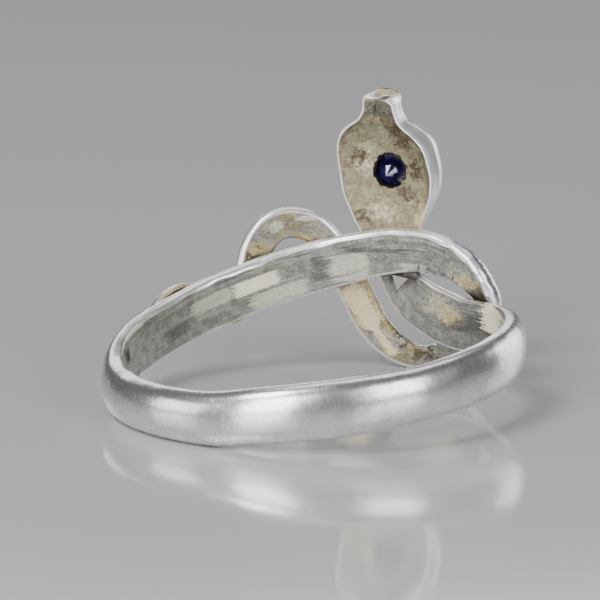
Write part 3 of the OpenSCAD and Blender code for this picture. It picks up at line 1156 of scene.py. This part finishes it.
        # painted shade on the shaded marks
        colour = self.blend(self.shaded * 0.75, colour, Tone.shaded)
        colour = self.blend(self.pale * 0.8, colour, Tone.pale)
        colour = self.blend(streaks * (1 - self.on_the_head), colour, Tone.streak)
        colour = self.blend(cuts * (1 - self.beyond_band), colour, Tone.file_cut)
        colour = self.blend(self.dark_flecks * (0.2 + self.beyond_band * 0.2), colour, Tone.dark_fleck)
        colour = self.blend(self.light_flecks * (0.12 + self.beyond_band * 0.13), colour, Tone.light_fleck)
        colour = self.blend(rusty * 0.55, colour, Tone.rusty)
        return self.blend(self.speckled * self.light_flecks.most(0.25) * 0.9, colour, Tone.speckled)

    def cream(self):
        """Colour of the painted reflections: cream patches of light, warmer on the tail."""
        cream = self.blend(self.grainy.between(0.42, 0.58), Tone.white_cream, Tone.yellow_cream)
        return self.blend(self.beyond_band * 0.6, cream, Tone.orange_cream)

    def colour(self):
        """The layers of colour, from the bare metal up to the painted shade and dirt."""
        polished = self.blend(self.cloudy.between(0.4, 0.7) * 0.35, Tone.polished, Tone.clouded)
        bevel = self.blend(self.golden, Tone.bevel, Tone.golden_bevel)
        colour = self.blend(self.inside, polished, self.filed())
        colour = self.blend(self.gilded * 0.75, colour, Tone.gilt)
        colour = self.blend(self.tarnished * 0.95, colour, Tone.tarnish)
        # painted reflections in cream
        colour = self.blend(self.painted_reflection * 0.95, colour, self.cream())
        # the bevels painted whiter and a little matt: painted highlight, on real worn edges
        colour = self.blend(self.edge * (0.55 + self.scratched.between(0.3, 0.5) * 0.4), colour, bevel)
        colour = self.blend(self.beige_cap * 0.95, colour, Tone.beige_cap)
        # painted shade and dirt, darkest in the creases and in the drilled hole
        return self.blend(self.shade_and_dirt * 0.9, colour, Tone.dark_shade_and_dirt)

    def metal(self):
        """How metallic it looks: less where something covers it, where it is matt, and on the painted
        reflections and the bevels' painted highlight.
        """
        # the painted reflections are made less metallic, so that they stay bright
        covered = self.painted_reflection * 0.85
        covers = [(self.speckled, 0.5), (self.gilded, 0.4), (self.tarnished, 0.4), (self.edge, 0.15)]
        for cover, share in [*covers, (self.bare_side, 0.1)]:
            covered = covered.most(cover * share)
        return 1 - covered

    def roughness(self):
        worn = 0.22 + self.cloudy * 0.10 + (self.scratched - 0.5) * 0.08
        return worn + self.dull * 0.13 + self.shade_and_dirt * 0.2 + self.edge * 0.05 + self.bare_side * 0.12

    def bump(self):
        """Rough casting inside, slight grain on the painted reflections, and slow waves all over."""
        casting = (self.brushed - 0.5) * 0.012 + (self.grainy - 0.5) * 0.05 + (self.blotchy - 0.5) * 0.05
        grain = self.painted_reflection * (self.grainy - 0.5) * 0.02
        height = self.dull * casting + grain + (self.cloudy - 0.5) * 0.03
        return self.wire("ShaderNodeBump", {}, {"Height": height, "Distance": METRES, "Strength": 1.0})


def tarnished_silver():
    paint = Silver("tarnished_silver")
    return paint.surface(
        Base_Color=paint.colour(), Roughness=paint.roughness(), Normal=paint.bump(), Metallic=paint.metal(),
    )


def blue_sapphire():
    paint = Finish("blue_sapphire")
    zoned = paint.noise(paint.millimetres(), 0.9, 2).between(0.35, 0.65)
    colour = paint.blend(zoned, (0.005, 0.004, 0.04, 1), (0.022, 0.014, 0.18, 1))
    return paint.surface(
        Base_Color=colour, Roughness=0.02, IOR=1.77, Transmission_Weight=0.4,
        Coat_Weight=1.0, Coat_Roughness=0.02,
    )


def pale_floor():
    paint = Finish("pale_floor")
    haze = paint.noise(paint.place, 40, 3)
    return paint.surface(Base_Color=(0.55, 0.55, 0.56, 1), Roughness=0.04 + haze * 0.06, IOR=1.75)


def plain_floor(half_size):
    """Plain floor under the ring, in metres."""
    bm = bmesh.new()
    bmesh.ops.create_grid(bm, x_segments=1, y_segments=1, size=half_size)
    bmesh.ops.translate(bm, verts=bm.verts, vec=(0, 0, cad_low.z))
    obj = made("floor", bm)
    obj.data.materials.append(pale_floor())
    return obj


def aimed(data, place, at):
    """A lamp or camera that stands at a place and looks at a point."""
    obj = bpy.data.objects.new(data.name, data)
    bpy.context.scene.collection.objects.link(obj)
    obj.location = place
    obj.rotation_mode = "QUATERNION"
    obj.rotation_quaternion = (Vector(at) - Vector(place)).to_track_quat("-Z", "Y")
    return obj


# The view from the polished shank's side, a little above, in metres and with a long lens in millimetres
ring_middle = Vector((-0.63, 0, 5.08)) * METRES
view_distance = 0.350
view_height = math.radians(11.75)
lens_length = 462
sensor_width = 36
nearest = 0.01


def view():
    lens = bpy.data.cameras.new("view")
    lens.sensor_width = sensor_width
    lens.lens = lens_length
    lens.clip_start = nearest
    back = Vector((0, -math.cos(view_height), math.sin(view_height)))
    return aimed(lens, ring_middle + back * view_distance, ring_middle)


def softbox(name, place, size, watts):
    """A soft lamp that looks at the ring, with its place and size in metres."""
    data = bpy.data.lights.new(name, "AREA")
    data.shape = "RECTANGLE"
    data.size, data.size_y = size
    data.energy = watts
    aimed(data, place, ring_middle)


def studio(colour, strength):
    """Even light from all round."""
    world = bpy.data.worlds.new("studio")
    world.use_nodes = True
    background = world.node_tree.nodes["Background"]
    background.inputs["Color"].default_value = colour
    background.inputs["Strength"].default_value = strength
    return world


snake = snake_silver()
read_surface(snake)
finished(snake, tarnished_silver(), "snake_body", smooth_under=38)
finished(sapphire_stone(), blue_sapphire(), "sapphire")

floor = plain_floor(half_size=1.5)
bpy.context.scene.camera = view()
# lamps, each with its place, its width and height, and its watts
softbox("left_softbox", (-0.16, -0.30, 0.14), (0.17, 0.26), 1.0)
softbox("right_softbox", (0.26, -0.27, 0.17), (0.20, 0.28), 0.9)
softbox("left_side_softbox", (-0.37, -0.06, 0.11), (0.18, 0.18), 0.35)
softbox("upper_left_softbox", (-0.155, -0.111, 0.307), (0.13, 0.13), 0.6)
softbox("far_right_softbox", (0.30, 0.30, 0.10), (0.24, 0.20), 0.4)
softbox("top_softbox", (0.02, 0.14, 0.34), (0.24, 0.20), 0.25)
softbox("far_softbox", (-0.06, 0.42, 0.18), (0.34, 0.12), 0.3)
bpy.context.scene.world = studio(colour=(0.20, 0.20, 0.21, 1), strength=0.6)
